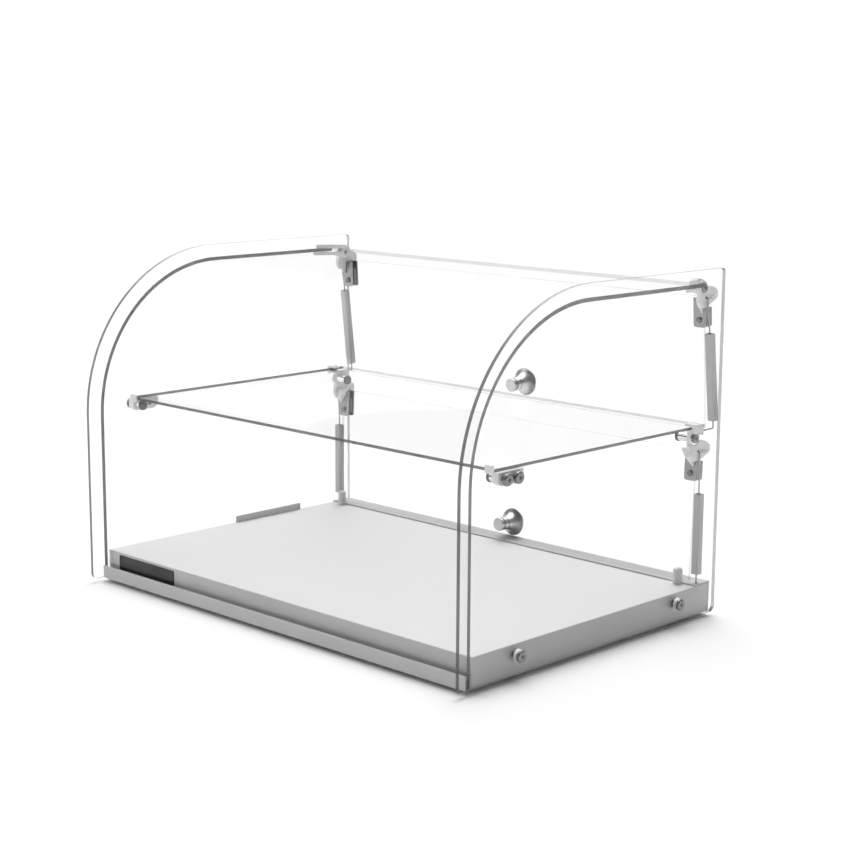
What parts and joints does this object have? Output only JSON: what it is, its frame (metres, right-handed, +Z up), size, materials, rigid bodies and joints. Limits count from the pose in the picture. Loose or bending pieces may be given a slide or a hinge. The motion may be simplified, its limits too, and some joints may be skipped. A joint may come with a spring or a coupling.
{
  "type": "countertop ambient display case",
  "caption": "Countertop two-tier display case with a bent glass front and top, glass sides and shelf, a flat sheet metal base and sprung clear doors at the rear.",
  "frame": {"origin": "on the resting plane under the middle of the whole case", "axes": "+X to the right seen from the curved front, +Y to the rear where the doors are, +Z up"},
  "size_m": [0.5666, 0.4024, 0.3605],
  "materials": {
    "base_paint": "satin powder coat",
    "lip_metal": "satin anodised",
    "foot_rubber": "matt",
    "clear_glass": "polished, dark at the edges",
    "door_clear": "polished clear acrylic",
    "post_plastic": "translucent white",
    "washer_plastic": "smooth white",
    "screw_steel": "bright zinc",
    "badge_black": "gloss",
    "bracket_cast": "light grey satin",
    "barrel_chrome": "mirror",
    "barrel_cap_steel": "dark",
    "clamp_steel": "fine brushed",
    "pad_rubber": "matt grey",
    "knob_chrome": "polished",
    "sleeve_plastic": "translucent grey",
    "spring_wire": "bright drawn wire"
  },
  "bodies": {
    "cabinet": {"badge": "badge_black", "base_tray": "base_paint", "bottom_plate": "base_paint", "clip_barrel_caps": "barrel_cap_steel", "clip_barrels": "barrel_chrome", "clip_screws": "screw_steel", "curved_glass": "clear_glass", "deck_tab": "base_paint", "feet": "foot_rubber", "front_lip": "lip_metal", "lower_pivot_rings": "barrel_chrome", "lower_pivot_screws": "screw_steel", "mid_barrel_caps": "barrel_cap_steel", "mid_barrels": "barrel_chrome", "mid_bracket_left": "bracket_cast", "mid_bracket_right": "bracket_cast", "post_screws": "screw_steel", "rear_rail": "base_paint", "shelf_clip_left": "bracket_cast", "shelf_clip_right": "bracket_cast", "shelf_glass": "clear_glass", "side_glass_left": "clear_glass", "side_glass_right": "clear_glass", "side_nuts": "screw_steel", "side_screws": "screw_steel", "side_washers": "washer_plastic", "stop_posts": "post_plastic", "top_bracket_left": "bracket_cast", "top_bracket_right": "bracket_cast", "upper_pivot_screws": "screw_steel"},
    "upper_door": {"upper_door_panel": "door_clear", "upper_clamps": "clamp_steel", "upper_clamp_pads": "pad_rubber", "upper_clamp_screws": "screw_steel", "upper_ear_right": "bracket_cast", "upper_ear_left": "bracket_cast", "upper_knob": "knob_chrome", "upper_knob_cap": "knob_chrome"},
    "upper_hooks": {"upper_hooks": "spring_wire"},
    "upper_springs": {"upper_sleeves": "sleeve_plastic", "upper_coils": "spring_wire", "upper_legs": "spring_wire"},
    "lower_door": {"lower_door_panel": "door_clear", "lower_clamps": "clamp_steel", "lower_clamp_pads": "pad_rubber", "lower_clamp_screws": "screw_steel", "lower_ear_right": "bracket_cast", "lower_ear_left": "bracket_cast", "lower_knob": "knob_chrome", "lower_knob_cap": "knob_chrome"},
    "lower_hooks": {"lower_hooks": "spring_wire"},
    "lower_springs": {"lower_sleeves": "sleeve_plastic", "lower_coils": "spring_wire", "lower_legs": "spring_wire"}
  },
  "joints": [
    {"name": "upper_door_hinge", "type": "hinge", "parent": "cabinet", "child": "upper_door", "pos_m": [0, 0.16335, 0.341], "axis": [1, 0, 0], "range_deg": [0, 75], "stiffness_Nm_per_rad": 0.3, "springref_deg": -14.32},
    {"name": "upper_hook_turn", "type": "hinge", "parent": "upper_door", "child": "upper_hooks", "pos_m": [0, 0.16667, 0.33098], "axis": [1, 0, 0], "range_deg": [-78.7, 0]},
    {"name": "upper_spring_slide", "type": "slide", "parent": "upper_hooks", "child": "upper_springs", "axis": [0, 0.1159, -0.9933], "range_m": [0, 0.00934]},
    {"name": "lower_door_hinge", "type": "hinge", "parent": "cabinet", "child": "lower_door", "pos_m": [0, 0.15585, 0.1885], "axis": [1, 0, 0], "range_deg": [0, 50], "stiffness_Nm_per_rad": 0.3, "springref_deg": -14.32},
    {"name": "lower_hook_turn", "type": "hinge", "parent": "lower_door", "child": "lower_hooks", "pos_m": [0, 0.16176, 0.17434], "axis": [1, 0, 0], "range_deg": [-53.9, 0]},
    {"name": "lower_spring_slide", "type": "slide", "parent": "lower_hooks", "child": "lower_springs", "axis": [0, 0, -1], "range_m": [0, 0.00943]}
  ],
  "couplings": [
    {"joint": "upper_hook_turn", "follows": "upper_door_hinge", "ratio": -1.0432},
    {"joint": "upper_spring_slide", "follows": "upper_door_hinge", "m_per_rad": 0.006829},
    {"joint": "lower_hook_turn", "follows": "lower_door_hinge", "ratio": -1.0675},
    {"joint": "lower_spring_slide", "follows": "lower_door_hinge", "m_per_rad": 0.01035}
  ]
}
